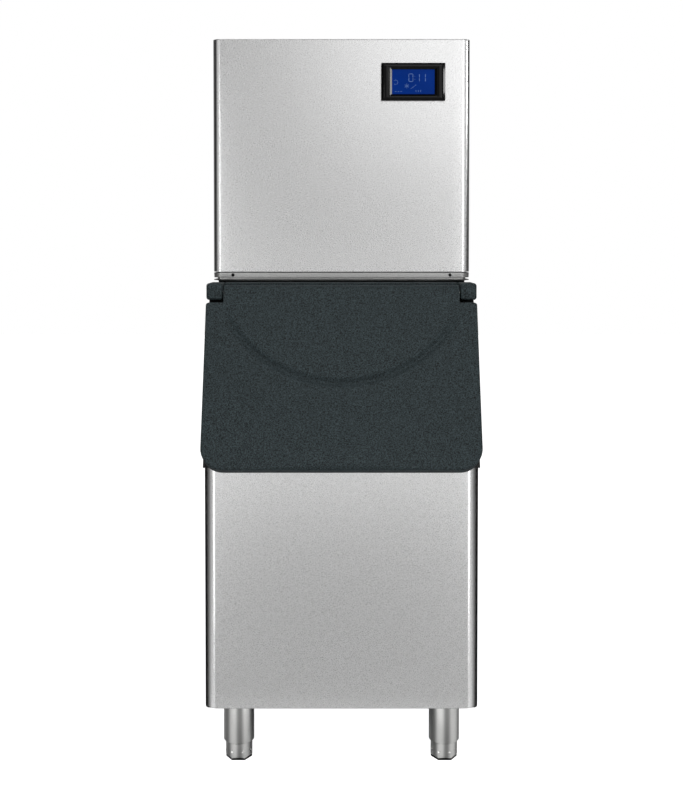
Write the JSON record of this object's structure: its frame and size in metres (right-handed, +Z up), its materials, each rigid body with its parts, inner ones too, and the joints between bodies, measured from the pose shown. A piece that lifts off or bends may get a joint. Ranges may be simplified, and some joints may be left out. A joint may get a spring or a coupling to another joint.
{
  "type": "ice machine",
  "caption": "Free-standing modular ice machine: a steel ice-making head with a display on an insulated bin with a sloped hinged door and adjustable legs.",
  "frame": {"origin": "on the floor under the middle of the whole machine, door nose and rear fittings included", "axes": "+Z up, -Y to the front where the door is, +X to the viewer's right"},
  "size_m": [0.572, 0.8916, 1.53],
  "materials": {
    "brushed_steel": "satin",
    "galvanised": "satin",
    "charcoal_door": "matte",
    "black_plastic": "satin",
    "black_rubber": "matte",
    "white_plastic": "satin",
    "foam": "matte",
    "clear_plastic": "gloss",
    "copper": "satin",
    "nickel": "satin",
    "black_enamel": "gloss",
    "brass": "satin",
    "blue_display": "gloss"
  },
  "bodies": {
    "machine": {"base_screw_left": "brushed_steel", "base_screw_right": "brushed_steel", "bin_drain_spout": "black_plastic", "bin_floor": "galvanised", "bin_foam": "foam", "bin_liner": "white_plastic", "bin_rear_panel": "galvanised", "bin_shell": "brushed_steel", "bin_top_deck": "galvanised", "compartment_wall": "galvanised", "compressor": "black_enamel", "condenser_coil": "galvanised", "control_box": "galvanised", "discharge_pipe": "copper", "display_bezel": "black_plastic", "display_glass": "blue_display", "evaporator_coil": "copper", "evaporator_plate": "nickel", "fan_motor": "black_plastic", "fan_shroud": "black_plastic", "float_stem": "white_plastic", "head_base": "brushed_steel", "head_front_panel": "brushed_steel", "head_left_panel": "brushed_steel", "head_lid": "brushed_steel", "head_rear_panel": "galvanised", "head_right_panel": "brushed_steel", "head_seal": "black_rubber", "hinge_block_left": "black_plastic", "hinge_block_right": "black_plastic", "hinge_pin_left": "brushed_steel", "hinge_pin_right": "brushed_steel", "hinge_rail": "black_plastic", "leg_front_left": "brushed_steel", "leg_front_right": "brushed_steel", "leg_rear_left": "brushed_steel", "leg_rear_right": "brushed_steel", "liquid_pipe": "copper", "power_gland": "black_plastic", "pump_hose": "black_rubber", "spray_bar": "white_plastic", "suction_pipe": "copper", "throat_frame": "black_plastic", "water_inlet_valve": "brass", "water_pump": "black_plastic", "water_trough": "white_plastic"},
    "door": {"door_shell": "charcoal_door", "door_liner": "white_plastic", "door_gasket": "black_rubber"},
    "curtain": {"ice_curtain": "clear_plastic"},
    "fan": {"fan_rotor": "galvanised"},
    "float": {"float": "white_plastic"},
    "foot_front_left": {"foot_front_left": "brushed_steel", "pad_front_left": "black_rubber"},
    "foot_front_right": {"foot_front_right": "brushed_steel", "pad_front_right": "black_rubber"},
    "foot_rear_left": {"foot_rear_left": "brushed_steel", "pad_rear_left": "black_rubber"},
    "foot_rear_right": {"foot_rear_right": "brushed_steel", "pad_rear_right": "black_rubber"}
  },
  "joints": [
    {"name": "door_hinge", "type": "hinge", "parent": "machine", "child": "door", "pos_m": [0, -0.28485, 0.981], "axis": [-1, 0, 0], "range_deg": [0, 160]},
    {"name": "curtain_hinge", "type": "hinge", "parent": "machine", "child": "curtain", "pos_m": [0, -0.03085, 1.4435], "axis": [-1, 0, 0], "range_deg": [0, 25]},
    {"name": "fan_axle", "type": "hinge", "parent": "machine", "child": "fan", "pos_m": [0.14, 0.34665, 1.1795], "axis": [0, 1, 0], "continuous": true},
    {"name": "float_slide", "type": "slide", "parent": "machine", "child": "float", "axis": [0, 0, 1], "range_m": [0, 0.012]},
    {"name": "foot_thread_front_left", "type": "slide", "parent": "machine", "child": "foot_front_left", "axis": [0, 0, -1], "range_m": [0, 0.025]},
    {"name": "foot_thread_front_right", "type": "slide", "parent": "machine", "child": "foot_front_right", "axis": [0, 0, -1], "range_m": [0, 0.025]},
    {"name": "foot_thread_rear_left", "type": "slide", "parent": "machine", "child": "foot_rear_left", "axis": [0, 0, -1], "range_m": [0, 0.025]},
    {"name": "foot_thread_rear_right", "type": "slide", "parent": "machine", "child": "foot_rear_right", "axis": [0, 0, -1], "range_m": [0, 0.025]}
  ]
}
